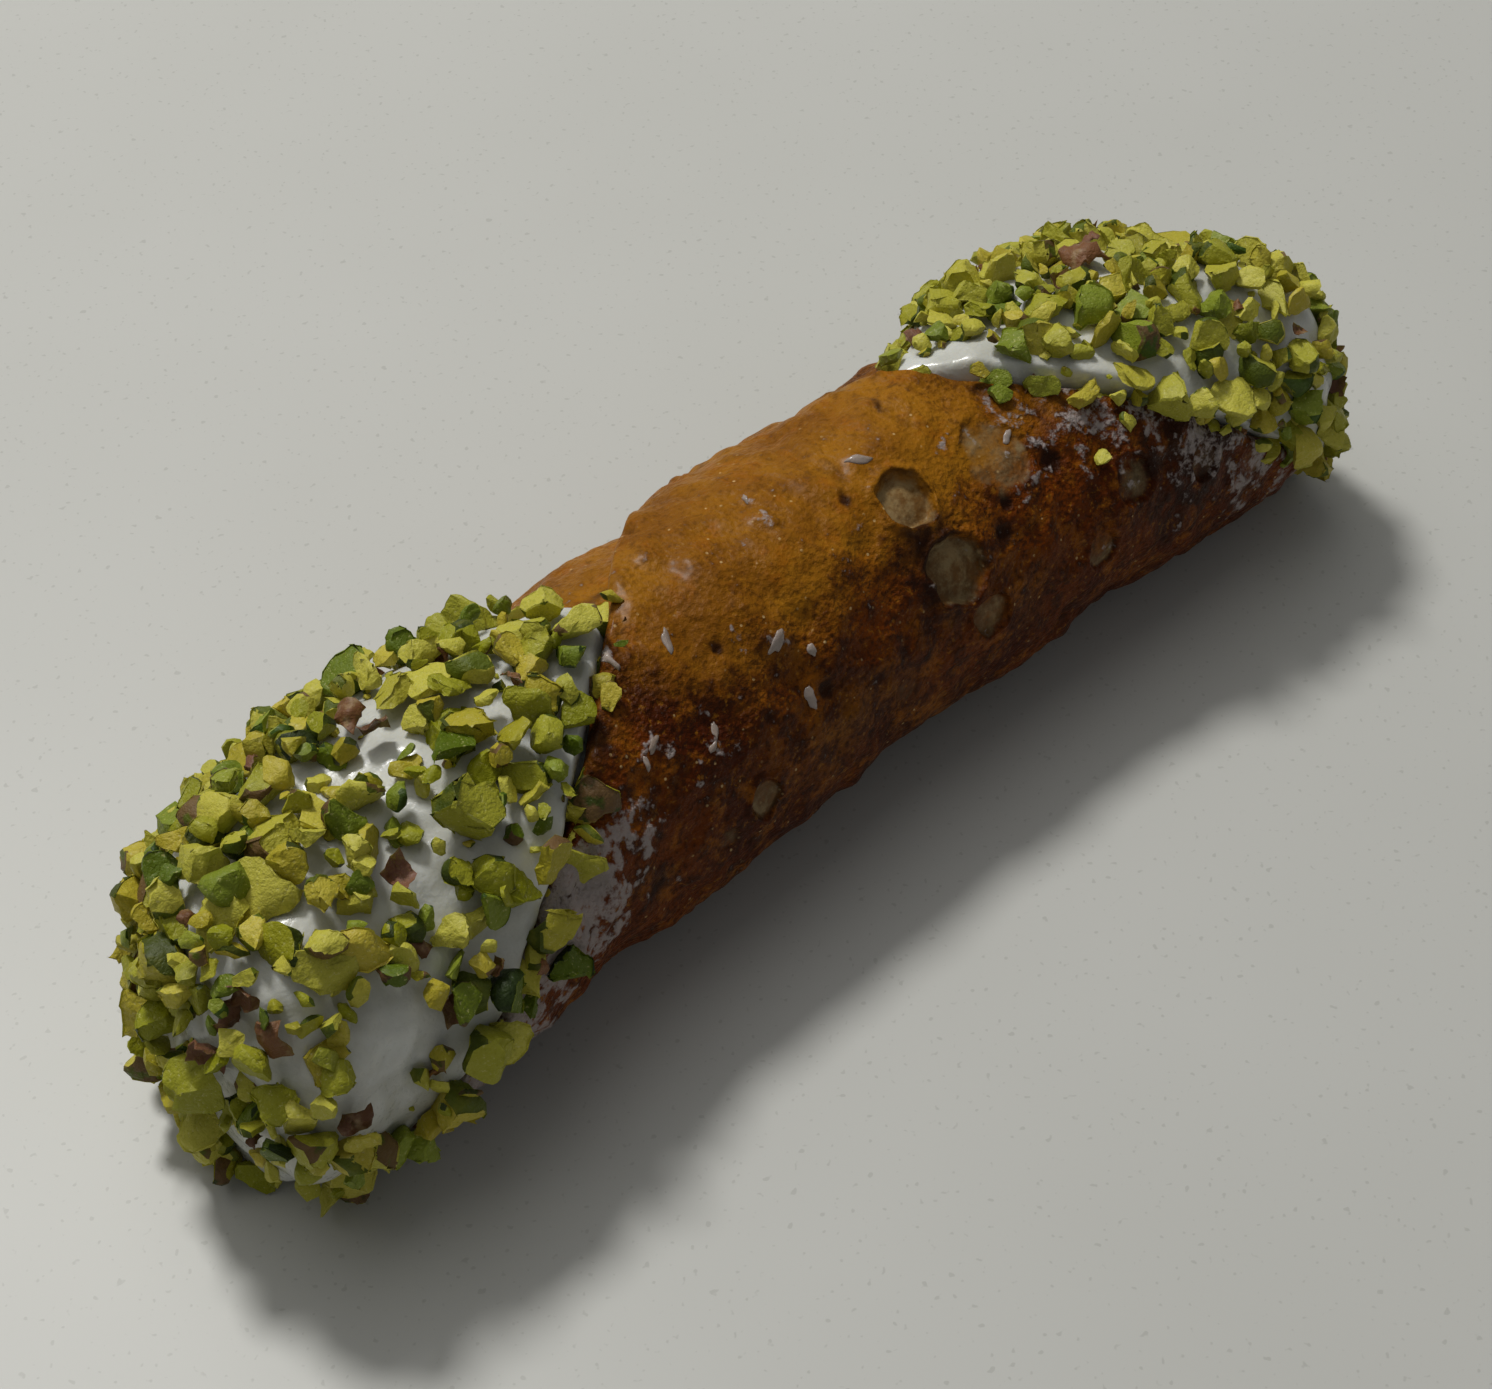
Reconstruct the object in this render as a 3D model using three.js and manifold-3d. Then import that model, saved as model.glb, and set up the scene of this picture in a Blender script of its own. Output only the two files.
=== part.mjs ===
// A Sicilian cannolo lying on its side: a square sheet of fried dough rolled on its diagonal, filled
// with ricotta cream that swells out of both slanted mouths, and chopped pistachios set in the cream.
// Millimetres. X runs along the tube, Z is up, and the outer flap comes over the top from the -Y side.
// Angles go round the tube's axis, from +Y towards +Z: 90 degrees is the top, 270 the underside.
import * as THREE from 'three';
import { ConvexGeometry } from 'three/addons/geometries/ConvexGeometry.js';
import { MeshSurfaceSampler } from 'three/addons/math/MeshSurfaceSampler.js';
import { mergeVertices } from 'three/addons/utils/BufferGeometryUtils.js';
import Module from 'manifold-3d';

const turn = 2 * Math.PI;
const degree = Math.PI / 180;

// The dough
const doughThickness = 2.1;
const rollRadius = 15.9; // to the middle of the dough, where it lies in one layer
const axisHeight = 16.7; // less than the outer radius, so the underside has a flat strip to rest on
const halfAlong = 76; // half the sheet's diagonal along the tube
const halfAround = 62; // half the diagonal that goes round it, on the outer flap's side
const innerAround = 80; // the same on the inner flap's side, before its corner is cut off
const innerCut = 62; // where the inner flap's corner is cut
const innerLean = 7; // how far the inner flap's end is moved towards the near mouth
const cornerPower = 7; // the sheet's corners are rounded as a superellipse of this power
const sheetMiddle = 4; // X of the sheet's middle
const middleAngle = 240 * degree; // where the sheet's middle line lies on the tube
const layerGap = 0.3; // between the two flaps
const drapeLength = 12; // over which the outer flap comes down off the inner one
const rimRound = 0.7; // how far the rounded rim stands out
const pressedDepth = 0.6; // the underside is flat up to this height, where its weight pressed it
const sheetCells = 28; // facets along each side of the sheet

// The cream
const fitGap = 0.3; // between the cream and the dough round it
const creamRadius = 17.6; // outside the mouths
const rampLength = 2.2; // over which the cream swells up past the dough's lip
const leastSpan = 1; // of full width between the ramp and the dome
const floorGap = 0.5; // under the cream at the ends
const hiddenSlack = 1.2; // between the cream and the dents of the tube, out of sight
const hiddenRows = 6;
const creamColumns = 40;
const spanRows = 5; // along the bare cream from lip to dome
const domeRows = 6;
const facetTolerance = 0.1; // facets flatter than this are merged once a grain is fused
const thinnestFacet = 0.015; // a grain that would leave a thinner one is drawn again

// Each end of the cream slopes back round one angle, with the spread in degrees: where its dome starts and
// how square it is there (back) and elsewhere (front), and how far its tip sags below the axis
const ends = [
  { side: -1, backAngle: 15, spread: 75, front: 66.5, back: 54, tip: 73.4, frontPower: 3.2, backPower: 2, sag: 3 },
  { side: 1, backAngle: 62, spread: 55, front: 63.5, back: 55, tip: 74, frontPower: 2.6, backPower: 1.35, sag: 1 },
];

// The pistachio pieces
const grainsPerEnd = 120;
const grainLengths = [6.5, 3.8]; // the largest come first
const grainSpread = 0.66; // least distance between two pieces, in lengths
const grainLift = 0.36; // how far a piece's middle stands above the cream, in thicknesses
const grainTilt = 0.9; // most tilt both ways together, in radians
const grainClearance = 0.5; // to the dough
const mostTries = 10000; // at each end

// Swells and dents of the fried tube: X, angle, height, and width both ways
const tubeLumps = [
  { x: -52, angle: 205, height: 1.2, width: 13 },
  { x: -35, angle: 212, height: -1.0, width: 5 },
  { x: 9, angle: 205, height: -1.2, width: 11 },
  { x: 24, angle: 213, height: 0.7, width: 5 },
  { x: 36, angle: 213, height: -0.5, width: 5 },
  { x: 66, angle: 205, height: 1.1, width: 13 },
  { x: -15, angle: 45, height: 0.9, width: 6 },
  { x: 13, angle: 42, height: -0.9, width: 6 },
  { x: 25, angle: 45, height: 1.3, width: 6 },
];

// Swells and hollows of the cream outside the mouths
const creamLumps = [
  { x: -41, angle: 40, height: 1.2, width: 10 },
  { x: -60, angle: 30, height: -0.8, width: 8 },
  { x: 42, angle: 42, height: 2.2, width: 15 },
  { x: -56, angle: 160, height: 0.5, width: 10 },
  { x: 72, angle: 120, height: 2.2, width: 7 },
  { x: 57, angle: 80, height: -2.2, width: 6 },
];

// Patches of cream that the pistachios leave bare
const barePatches = [
  { x: -56, angle: 178, radius: 7.5 },
  { x: -47, angle: 160, radius: 4 },
  { x: -67, angle: 215, radius: 7 },
  { x: -31, angle: 118, radius: 3 },
  { x: 68, angle: 165, radius: 7 },
];

// One step of a whole-number generator, so every build draws the same numbers
let randomState = 20261;
function random() {
  randomState = (randomState * 16807) % 2147483647;
  return randomState / 2147483647;
}

function mix(from, to, t) {
  return from + (to - from) * t;
}

function smoothStep(t) {
  const clamped = Math.min(Math.max(t, 0), 1);
  return clamped * clamped * (3 - 2 * clamped);
}

// The shorter way round from one angle to another
function angleBetween(a, b) {
  return Math.abs(a - b - turn * Math.round((a - b) / turn));
}

function lumpHeight(lumps, x, angle) {
  let sum = 0;
  for (const lump of lumps) {
    const across = angleBetween(angle, lump.angle * degree) * rollRadius;
    sum += lump.height * Math.exp(-((x - lump.x) ** 2 + across ** 2) / (2 * lump.width ** 2));
  }
  return sum;
}

function pointAt(x, angle, radius) {
  return new THREE.Vector3(x, radius * Math.cos(angle), axisHeight + radius * Math.sin(angle));
}

// How far out a point of the flat sheet lies, with 1 on the sheet's edge
function sheetMeasure(around, along) {
  const across = around / (around < 0 ? innerAround : halfAround);
  const u = Math.abs(across + along / halfAlong);
  const v = Math.abs(across - along / halfAlong);
  const w = around < 0 ? -around / innerCut : 0;
  return (u ** cornerPower + v ** cornerPower + w ** cornerPower) ** (1 / cornerPower);
}

// How far along the tube the inner flap is moved, as it was rolled a little askew
function flapLean(around) {
  return around < 0 ? -innerLean * (around / innerCut) ** 2 : 0;
}

// The sheet's half length along the tube, at a distance around from its middle line
function sheetReach(around) {
  let inside = 0;
  let outside = halfAlong;
  for (let i = 0; i < 30; i++) {
    const middle = (inside + outside) / 2;
    if (sheetMeasure(around, middle) < 1) {
      inside = middle;
    } else {
      outside = middle;
    }
  }
  return inside;
}

// How far the outer flap is held off the tube by the inner flap under it
function flapLift(around, along) {
  if (around < 0) return 0;
  const sideDistance = (halfAlong * halfAround) / Math.hypot(halfAlong, halfAround);
  const inner = around - turn * rollRadius;
  const depth = (1 - sheetMeasure(inner, along - flapLean(inner))) * sideDistance;
  return (doughThickness + layerGap) * smoothStep((depth + drapeLength) / drapeLength);
}

// A point of the rolled dough, at a height above the middle of its thickness
function rolledPoint(around, along, height) {
  const angle = middleAngle - around / rollRadius;
  const x = along + sheetMiddle + flapLean(around);
  const radius = rollRadius + flapLift(around, along) + lumpHeight(tubeLumps, x, angle) + height;
  const point = pointAt(x, angle, radius);
  if (point.z < pressedDepth) point.z = 0;
  return point;
}

// How far the dough reaches from the sheet's middle towards one side, on whichever flap reaches further
function doughReach(side, angle) {
  const back = (((middleAngle - angle) % turn) + turn) % turn;
  const inner = (back - turn) * rollRadius;
  return Math.max(sheetReach(back * rollRadius), sheetReach(inner) + side * flapLean(inner));
}

// The sheet's grid of facets: both faces, and a rounded rim between them
function shellGeometry() {
  const positions = [];
  const index = [];
  const row = sheetCells + 1;

  function addVertex(i, j, scale, height) {
    const a = (2 * i) / sheetCells - 1;
    const b = (2 * j) / sheetCells - 1;
    const square = Math.max(Math.abs(a), Math.abs(b));
    const around = ((a + b < 0 ? innerAround : halfAround) * (a + b)) / 2;
    const along = (halfAlong * (a - b)) / 2;
    const rounding = square > 0 ? (scale * square) / sheetMeasure(around, along) : 0;
    const point = rolledPoint(around * rounding, along * rounding, height);
    positions.push(point.x, point.y, point.z);
    return positions.length / 3 - 1;
  }

  for (const height of [doughThickness / 2, -doughThickness / 2]) {
    for (let i = 0; i < row; i++) {
      for (let j = 0; j < row; j++) {
        addVertex(i, j, 1, height);
      }
    }
  }

  const faceSize = row * row;
  for (let i = 0; i < sheetCells; i++) {
    for (let j = 0; j < sheetCells; j++) {
      const corner = i * row + j;
      const quad = [corner, corner + row, corner + row + 1, corner + 1];
      index.push(quad[0], quad[1], quad[3], quad[1], quad[2], quad[3]);
      const under = quad.map((vertex) => vertex + faceSize);
      index.push(under[0], under[3], under[1], under[1], under[3], under[2]);
    }
  }

  // The rim, walked once round the sheet's edge
  const edge = [];
  for (let k = 0; k < sheetCells; k++) edge.push([k, 0]);
  for (let k = 0; k < sheetCells; k++) edge.push([sheetCells, k]);
  for (let k = sheetCells; k > 0; k--) edge.push([k, sheetCells]);
  for (let k = sheetCells; k > 0; k--) edge.push([0, k]);
  const rimScale = 1 + rimRound / (Math.hypot(halfAlong, halfAround) / 2);
  const rim = edge.map(([i, j]) => addVertex(i, j, rimScale, 0));
  for (let k = 0; k < edge.length; k++) {
    const next = (k + 1) % edge.length;
    const top = edge[k][0] * row + edge[k][1];
    const topNext = edge[next][0] * row + edge[next][1];
    index.push(top, rim[k], topNext, topNext, rim[k], rim[next]);
    const low = top + faceSize;
    const lowNext = topNext + faceSize;
    index.push(rim[k], low, rim[next], rim[next], low, lowNext);
  }
  return indexedGeometry(positions, index);
}

function indexedGeometry(positions, index) {
  const geometry = new THREE.BufferGeometry();
  geometry.setAttribute('position', new THREE.Float32BufferAttribute(positions, 3));
  geometry.setIndex(index);
  return geometry;
}

// A point of the cream kept a little above the surface that the cannolo rests on
function creamPoint(x, angle, radius) {
  const depth = axisHeight - floorGap;
  const sine = -Math.sin(angle);
  const most = sine > 0 ? depth / sine : radius;
  return pointAt(x, angle, Math.min(radius, most));
}

// The inner face of the tube, less the gap that the cream keeps from it
function boreRadius(x, angle) {
  return rollRadius + lumpHeight(tubeLumps, x, angle) - doughThickness / 2 - fitGap;
}

// One end of the cream at an angle: points from inside the dough, over the lip and down the dome
function creamMeridian(end, angle) {
  const back = Math.exp(-((angleBetween(angle, end.backAngle * degree) / (end.spread * degree)) ** 2));
  const domeStart = mix(end.front, end.back, back);
  const power = mix(end.frontPower, end.backPower, back);
  const lip = sheetMiddle * end.side + doughReach(end.side, angle) + rimRound;
  const outside = (x) => creamRadius + lumpHeight(creamLumps, x, angle);
  const start = Math.max(domeStart, lip + fitGap + rampLength + leastSpan);
  const points = [];
  const push = (distance, radius) => points.push(creamPoint(end.side * distance, angle, radius));

  const foot = boreRadius(end.side * (lip + fitGap), angle);
  push(lip + fitGap, foot);
  for (const t of [0.45, 1]) {
    const distance = lip + fitGap + rampLength * t;
    push(distance, mix(foot, outside(end.side * distance), Math.sin((t * Math.PI) / 2)));
  }
  for (let k = 1; k <= spanRows; k++) {
    const distance = mix(lip + fitGap + rampLength, start, k / spanRows);
    push(distance, outside(end.side * distance));
  }
  for (let k = 1; k < domeRows; k++) {
    const t = Math.sin((k / domeRows) * (Math.PI / 2));
    const distance = mix(start, end.tip, t);
    push(distance, outside(end.side * distance) * (1 - t ** power) ** (1 / power));
    const point = points[points.length - 1];
    point.z = Math.max(point.z - end.sag * t * t * t, floorGap);
  }
  return points;
}

// The cream as one solid that runs through the tube, from the near end's tip to the far end's
function creamGeometry() {
  const positions = [];
  const index = [];
  const columns = [];
  for (let c = 0; c < creamColumns; c++) {
    const angle = (c / creamColumns) * turn;
    const near = creamMeridian(ends[0], angle).reverse();
    const far = creamMeridian(ends[1], angle);
    const hidden = [];
    for (let k = 1; k < hiddenRows; k++) {
      const x = mix(near[near.length - 1].x, far[0].x, k / hiddenRows);
      hidden.push(creamPoint(x, angle, boreRadius(x, angle) - hiddenSlack));
    }
    columns.push([...near, ...hidden, ...far]);
  }
  const rows = columns[0].length;
  for (const column of columns) {
    for (const point of column) positions.push(point.x, point.y, point.z);
  }
  for (let c = 0; c < creamColumns; c++) {
    const next = (c + 1) % creamColumns;
    for (let r = 0; r < rows - 1; r++) {
      const a = c * rows + r;
      const b = next * rows + r;
      index.push(a, b, a + 1, b, b + 1, a + 1);
    }
  }
  for (const end of ends) {
    const tip = positions.length / 3;
    positions.push(end.side * end.tip, 0, axisHeight - end.sag);
    const ring = end.side < 0 ? 0 : rows - 1;
    for (let c = 0; c < creamColumns; c++) {
      const a = c * rows + ring;
      const b = ((c + 1) % creamColumns) * rows + ring;
      if (end.side < 0) {
        index.push(tip, b, a);
      } else {
        index.push(tip, a, b);
      }
    }
  }
  return indexedGeometry(positions, index);
}

// One chopped piece of pistachio: four uneven corners where it sits in the cream, and three on top
function grainGeometry(length) {
  const thickness = length * mix(0.45, 0.62, random());
  const width = length * mix(0.65, 0.9, random());
  const corners = [];
  for (const ring of [{ count: 4, z: -0.35, size: 0.5 }, { count: 3, z: 0.5, size: 0.36 }]) {
    const first = random() * turn;
    for (let k = 0; k < ring.count; k++) {
      const angle = first + ((k + mix(-0.2, 0.2, random())) / ring.count) * turn;
      const size = ring.size * mix(0.85, 1.2, random());
      const z = ring.z * mix(0.7, 1.15, random()) * thickness;
      corners.push(new THREE.Vector3(size * length * Math.cos(angle), size * width * Math.sin(angle), z));
    }
  }
  const geometry = new ConvexGeometry(corners);
  geometry.userData.thickness = thickness;
  return geometry;
}

// Whether a grain's corner keeps off the dough and off the surface underneath
function cornerIsClear(corner) {
  const angle = Math.atan2(corner.z - axisHeight, corner.y);
  const radius = Math.hypot(corner.z - axisHeight, corner.y);
  const side = Math.sign(corner.x);
  const pastLip = side * (corner.x - sheetMiddle) - doughReach(side, angle) - rimRound;
  return corner.z > floorGap && (pastLip > grainClearance || radius > rollRadius + 8);
}

function inBarePatch(point) {
  const angle = Math.atan2(point.z - axisHeight, point.y);
  return barePatches.some((patch) => {
    const across = angleBetween(angle, patch.angle * degree) * creamRadius;
    return Math.hypot(point.x - patch.x, across) < patch.radius;
  });
}

const wasm = await Module();
wasm.setup();

function toManifold(geometry) {
  const bare = geometry.clone();
  bare.deleteAttribute('normal');
  bare.deleteAttribute('uv');
  const merged = mergeVertices(bare, 1e-4);
  const mesh = new wasm.Mesh({
    numProp: 3,
    vertProperties: new Float32Array(merged.attributes.position.array),
    triVerts: new Uint32Array(merged.index.array),
  });
  return new wasm.Manifold(mesh);
}

// A fused body is clean if it is one closed piece with no hollow inside, no two corners at one place, where it
// would touch itself, and no facet too thin for a solid
function isClean(body) {
  if (body.decompose().length !== 1) return false;
  const mesh = body.getMesh();
  const places = new Set();
  for (let k = 0; k < mesh.vertProperties.length; k += mesh.numProp) {
    places.add(Array.from(mesh.vertProperties.subarray(k, k + 3), (value) => value.toFixed(3)).join());
  }
  if (places.size < mesh.numVert) return false;
  const corners = [new THREE.Vector3(), new THREE.Vector3(), new THREE.Vector3()];
  for (let k = 0; k < mesh.triVerts.length; k += 3) {
    corners.forEach((corner, i) => corner.fromArray(mesh.vertProperties, mesh.triVerts[k + i] * mesh.numProp));
    const sides = corners.map((corner, i) => corner.distanceTo(corners[(i + 1) % 3]));
    const longest = Math.max(...sides);
    const area = new THREE.Triangle(...corners).getArea();
    if (Math.min(...sides) < thinnestFacet || (2 * area) / longest < thinnestFacet / 3) return false;
  }
  return true;
}

// Draws one grain on the cream's surface at an end, or nothing where it would not sit well
function drawGrain(sampler, end, length, middles) {
  const up = new THREE.Vector3(0, 0, 1);
  const point = new THREE.Vector3();
  const normal = new THREE.Vector3();
  sampler.sample(point, normal);
  const radius = Math.hypot(point.y, point.z - axisHeight);
  const onEnd = point.x * end.side > 0 && (radius > rollRadius || Math.abs(point.x) > end.back);
  if (!onEnd || inBarePatch(point)) return null;
  if (middles.some((other) => other.distanceTo(point) < grainSpread * length)) return null;
  const grain = grainGeometry(length);
  const place = new THREE.Quaternion().setFromUnitVectors(up, normal);
  const spin = new THREE.Quaternion().setFromAxisAngle(up, random() * turn);
  const tilt = new THREE.Euler((random() - 0.5) * grainTilt, (random() - 0.5) * grainTilt, 0);
  grain.applyQuaternion(place.multiply(spin).multiply(new THREE.Quaternion().setFromEuler(tilt)));
  const middle = point.clone().addScaledVector(normal, grain.userData.thickness * grainLift);
  grain.translate(middle.x, middle.y, middle.z);
  const corners = grain.attributes.position;
  for (let k = 0; k < corners.count; k++) {
    if (!cornerIsClear(new THREE.Vector3().fromBufferAttribute(corners, k))) return null;
  }
  return { grain, point };
}

// The cream with the grains of both ends fused to it, the largest first, spread evenly at each end
function fillingGeometry() {
  const cream = creamGeometry();
  const surface = cream.clone();
  surface.computeVertexNormals();
  const sampler = new MeshSurfaceSampler(new THREE.Mesh(surface));
  sampler.setRandomGenerator(random).build();
  let body = toManifold(cream);
  for (const end of ends) {
    const middles = [];
    for (let tries = 0; middles.length < grainsPerEnd && tries < mostTries; tries++) {
      const share = middles.length / grainsPerEnd;
      const length = mix(grainLengths[0], grainLengths[1], Math.sqrt(share)) * mix(0.88, 1.12, random());
      const drawn = drawGrain(sampler, end, length, middles);
      if (!drawn) continue;
      const fused = body.add(toManifold(drawn.grain)).asOriginal().simplify(facetTolerance);
      if (!isClean(fused)) continue;
      body = fused;
      middles.push(drawn.point);
    }
  }
  const mesh = body.getMesh();
  return indexedGeometry(Array.from(mesh.vertProperties), Array.from(mesh.triVerts));
}

function namedMesh(name, geometry, color, roughness) {
  geometry.computeVertexNormals();
  const material = new THREE.MeshStandardMaterial({ color, roughness, metalness: 0, flatShading: true });
  const mesh = new THREE.Mesh(geometry, material);
  mesh.name = name;
  return mesh;
}

const cannolo = new THREE.Group();
cannolo.add(namedMesh('shell', shellGeometry(), 0xa8672a, 0.55));
cannolo.add(namedMesh('filling', fillingGeometry(), 0xdcdcd2, 0.4));

export default cannolo;
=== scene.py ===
# A Sicilian cannolo on its side: a fried pastry tube, white cream swelling out of both mouths, chopped
# pistachios set in the cream. Shapes are worked out in millimetres, angles go from +Y towards +Z.
import math
import random

import bmesh
import bpy
import numpy as np
from mathutils import Matrix, Vector, noise
from mathutils.bvhtree import BVHTree


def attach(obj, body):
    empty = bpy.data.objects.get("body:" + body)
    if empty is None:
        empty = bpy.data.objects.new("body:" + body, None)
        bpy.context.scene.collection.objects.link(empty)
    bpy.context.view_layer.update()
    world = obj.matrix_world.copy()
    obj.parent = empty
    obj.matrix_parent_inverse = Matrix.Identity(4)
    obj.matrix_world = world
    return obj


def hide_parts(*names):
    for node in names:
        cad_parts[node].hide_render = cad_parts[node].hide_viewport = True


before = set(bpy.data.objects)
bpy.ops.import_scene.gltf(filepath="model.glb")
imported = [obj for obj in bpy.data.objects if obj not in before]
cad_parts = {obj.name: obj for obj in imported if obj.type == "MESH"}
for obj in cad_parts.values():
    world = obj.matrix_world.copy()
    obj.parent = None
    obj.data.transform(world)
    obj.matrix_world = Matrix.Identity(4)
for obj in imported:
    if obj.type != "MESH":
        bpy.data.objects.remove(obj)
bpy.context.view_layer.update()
scene = bpy.context.scene
noise.seed_set(7)  # vector noise would else be offset by the clock, and chips differ from run to run

mm = 0.001
turn = 2 * math.pi


# Settings of the rolled sheet, as the solid has them
roll = {
    "thickness": 2.1, "radius": 15.9, "axis": 16.7, "halfAlong": 76.0, "halfAround": 62.0, "corner": 7.0,
    "innerAround": 80.0, "innerCut": 62.0, "innerLean": 7.0,
    "middle": 4.0, "angle": math.radians(240), "gap": 0.3, "drape": 12.0, "rim": 0.7, "pressed": 0.6,
}
tubeLumps = [  # x, angle, height, width
    (-52, 205, 1.2, 13), (-35, 212, -1.0, 5), (9, 205, -1.2, 11), (24, 213, 0.7, 5), (36, 213, -0.5, 5),
    (66, 205, 1.1, 13), (-15, 45, 0.9, 6), (13, 42, -0.9, 6), (25, 45, 1.3, 6),
]


def smoothStep(t):
    t = np.clip(t, 0, 1)
    return t * t * (3 - 2 * t)


# Smallest angle between two angles
def angleGap(a, b):
    return np.abs(a - b - turn * np.round((a - b) / turn))


# Sum of the soft swells and hollows at a place on the tube
def lumpHeight(lumps, x, angle):
    total = 0.0 * x
    for lumpX, degrees, height, width in lumps:
        across = angleGap(angle, math.radians(degrees)) * roll["radius"]
        total = total + height * np.exp(-((x - lumpX) ** 2 + across ** 2) / (2 * width ** 2))
    return total


# 1 on the flat sheet's edge and less inside it: a square on its corner, its own corners rounded
def sheetMeasure(around, along):
    across = around / np.where(around < 0, roll["innerAround"], roll["halfAround"])
    u = np.abs(across + along / roll["halfAlong"])
    v = np.abs(across - along / roll["halfAlong"])
    w = np.where(around < 0, -around / roll["innerCut"], 0)
    return (u ** roll["corner"] + v ** roll["corner"] + w ** roll["corner"]) ** (1 / roll["corner"])


# The inner flap lies askew, more so towards its edge
def flapLean(around):
    return np.where(around < 0, -roll["innerLean"] * (around / roll["innerCut"]) ** 2, 0)


# How far the sheet reaches along the tube, at a place around it
def sheetReach(around):
    inside = np.zeros_like(around)
    outside = np.full_like(around, roll["halfAlong"])
    for step in range(30):
        middle = (inside + outside) / 2
        within = sheetMeasure(around, middle) < 1
        inside = np.where(within, middle, inside)
        outside = np.where(within, outside, middle)
    return inside


# Distance from the sheet's edge, inwards
def edgeDepth(around, along):
    side = roll["halfAlong"] * roll["halfAround"] / math.hypot(roll["halfAlong"], roll["halfAround"])
    return (1 - sheetMeasure(around, along)) * side


# How high the outer flap rides up on the inner one
def flapLift(around, along):
    inner = around - turn * roll["radius"]
    depth = edgeDepth(inner, along - flapLean(inner))
    lift = (roll["thickness"] + roll["gap"]) * smoothStep((depth + roll["drape"]) / roll["drape"])
    return np.where(around < 0, 0, lift)


def polar(x, angle, radius):
    return np.stack([x, radius * np.cos(angle), roll["axis"] + radius * np.sin(angle)], axis=-1)


# A place on the sheet, at a height off its middle, when it is rolled up and rests on the floor
def rolledPoint(around, along, height):
    angle = roll["angle"] - around / roll["radius"]
    x = along + roll["middle"] + flapLean(around)
    radius = roll["radius"] + flapLift(around, along) + lumpHeight(tubeLumps, x, angle) + height
    point = polar(x, angle, radius)
    low = np.where(height > 0, roll["pressed"], 0.0) * smoothStep(1 - point[..., 2] / 2)
    point[..., 2] = np.maximum(point[..., 2] - low, 0)
    return point


# X and angle on the tube to the outer flap's own coordinates
def onFlap(x, degrees):
    return (roll["angle"] - math.radians(degrees)) % turn * roll["radius"], x - roll["middle"]


# How far out the dough's lip is at an angle, for the two ends
def doughReach(side, angle):
    back = (roll["angle"] - angle) % turn
    inner = (back - turn) * roll["radius"]
    return np.maximum(sheetReach(back * roll["radius"]), sheetReach(inner) + side * flapLean(inner))


# Smooth noise from about -1 to 1, with swells of one size in mm
def noiseField(points, size, shift):
    offset = Vector((shift * 17.3, shift * 5.1, shift * 9.7))
    return np.array([noise.noise(Vector(p) / size + offset) for p in points]) * 1.6


def readVerts(bm):
    return np.array([v.co[:] for v in bm.verts])


def writeVerts(bm, points):
    for vert, point in zip(bm.verts, points):
        vert.co = point


def finishPiece(bm, name, material, node, sharpAngle=None):
    bmesh.ops.scale(bm, vec=(mm, mm, mm), verts=bm.verts)
    mesh = bpy.data.meshes.new(name)
    bm.to_mesh(mesh)
    bm.free()
    mesh.shade_smooth()
    if sharpAngle:
        mesh.set_sharp_from_angle(angle=math.radians(sharpAngle))
    mesh.materials.append(material)
    piece = bpy.data.objects.new(name, mesh)
    scene.collection.objects.link(piece)
    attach(piece, "root")
    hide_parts(node)
    mesh.calc_loop_triangles()
    print(name, len(mesh.loop_triangles), "triangles")
    return piece


def linear(hexText):
    channels = [int(hexText[i:i + 2], 16) / 255 for i in (1, 3, 5)]
    return tuple(c / 12.92 if c <= 0.04045 else ((c + 0.055) / 1.055) ** 2.4 for c in channels) + (1.0,)


def newMaterial(name, values):
    material = bpy.data.materials.new(name)
    material.use_nodes = True
    shader = material.node_tree.nodes["Principled BSDF"]
    for socket, value in values.items():
        shader.inputs[socket].default_value = value
    return material, material.node_tree, shader


# Each kind of node: Blender's name for it, its settings, the inputs it is given in order, and its output
nodeKinds = {
    "place": ("ShaderNodeTexCoord", {}, (), "Object"),
    "marks": ("ShaderNodeAttribute", {"attribute_name": "marks"}, (), "Color"),
    "toastAndShade": ("ShaderNodeAttribute", {"attribute_name": "marks"}, (), "Alpha"),
    "tint": ("ShaderNodeAttribute", {"attribute_name": "tint"}, (), "Color"),
    "papery": ("ShaderNodeAttribute", {"attribute_name": "tint"}, (), "Alpha"),
    "red": ("ShaderNodeSeparateColor", {}, ("Color",), "Red"),
    "green": ("ShaderNodeSeparateColor", {}, ("Color",), "Green"),
    "blue": ("ShaderNodeSeparateColor", {}, ("Color",), "Blue"),
    "noise": ("ShaderNodeTexNoise", {}, ("Vector", "Scale", "Detail", "Roughness"), "Fac"),
    "cells": ("ShaderNodeTexVoronoi", {"feature": "F1"}, ("Vector", "Scale"), "Distance"),
    "step": ("ShaderNodeMapRange", {"interpolation_type": "SMOOTHSTEP"},
             ("Value", "From Min", "From Max", "To Max", "To Min"), "Result"),
    "add": ("ShaderNodeMath", {"operation": "ADD"}, (0, 1), "Value"),
    "subtract": ("ShaderNodeMath", {"operation": "SUBTRACT"}, (0, 1), "Value"),
    "multiply": ("ShaderNodeMath", {"operation": "MULTIPLY"}, (0, 1), "Value"),
    "multiplyAdd": ("ShaderNodeMath", {"operation": "MULTIPLY_ADD"}, (0, 1, 2), "Value"),
    "mix": ("ShaderNodeMix", {"data_type": "RGBA"}, (0, 6, 7), 2),
    "bump": ("ShaderNodeBump", {}, ("Height", "Strength", "Distance"), "Normal"),
}


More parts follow.
